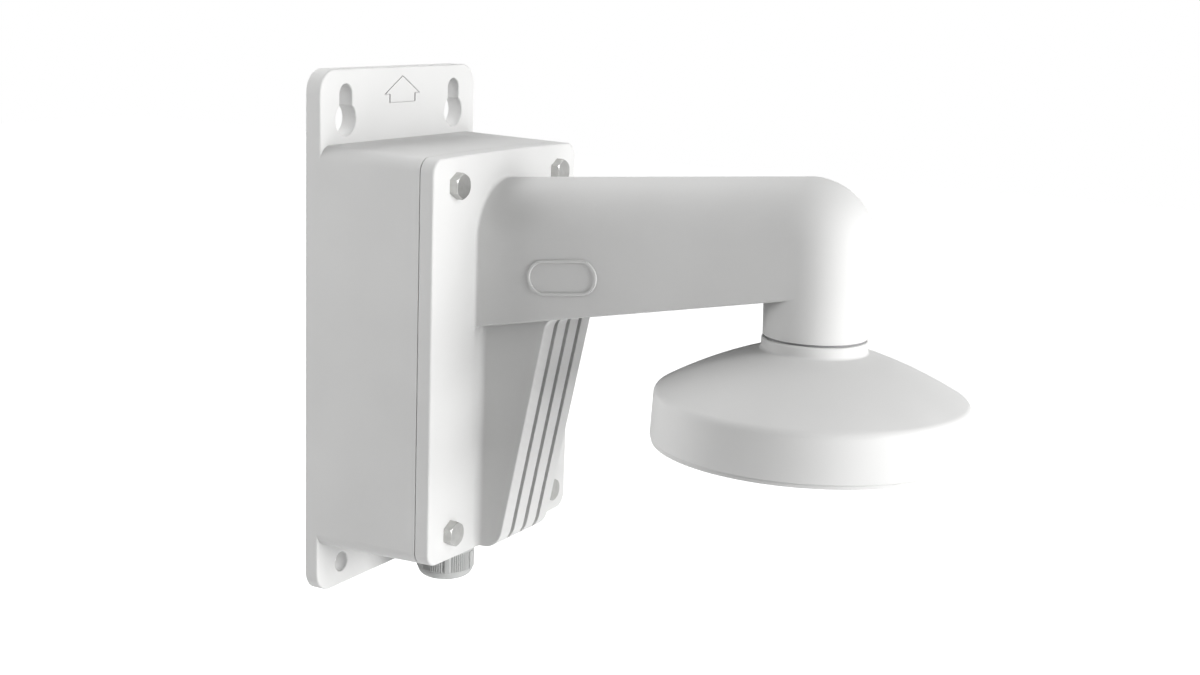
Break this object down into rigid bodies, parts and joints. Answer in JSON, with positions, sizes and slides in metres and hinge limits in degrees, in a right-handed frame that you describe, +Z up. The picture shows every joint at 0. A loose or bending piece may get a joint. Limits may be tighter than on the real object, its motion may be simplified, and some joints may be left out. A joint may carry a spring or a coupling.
{
  "type": "camera wall bracket",
  "caption": "White cast wall bracket for a dome camera: junction box with bolted cover, hollow arm on a ribbed gusset, and a round pendant cap with a cable gland below.",
  "frame": {"origin": "middle of the wall hole pattern, on the face that lies against the wall", "axes": "+Y into the wall, +Z up, +X to the right seen from the front; the arm reaches along -Y"},
  "size_m": [0.1324, 0.2819, 0.2364],
  "materials": {
    "body_paint": "satin white powder coat on die-cast aluminium",
    "plate_paint": "satin white powder coat on sheet steel",
    "seal_rubber": "matt black",
    "gland_nylon": "moulded white nylon",
    "steel": "bright stainless steel"
  },
  "bodies": {
    "root": {"arm_cover": "body_paint", "camera_plate": "plate_paint", "cover_bolt_1": "steel", "cover_bolt_2": "steel", "cover_bolt_3": "steel", "cover_bolt_4": "steel", "cover_gasket": "seal_rubber", "earth_screw": "steel", "earth_washer": "steel", "gland_body": "gland_nylon", "gland_dome_nut": "gland_nylon", "gland_flat_seal": "seal_rubber", "gland_locknut": "gland_nylon", "gland_rubber": "seal_rubber", "neck_seal": "seal_rubber", "neck_set_screw": "steel", "pendant_cap": "body_paint", "plate_screw_1": "steel", "plate_screw_2": "steel", "plate_screw_3": "steel", "rear_grommet": "seal_rubber", "wall_box": "body_paint"}
  },
  "joints": []
}
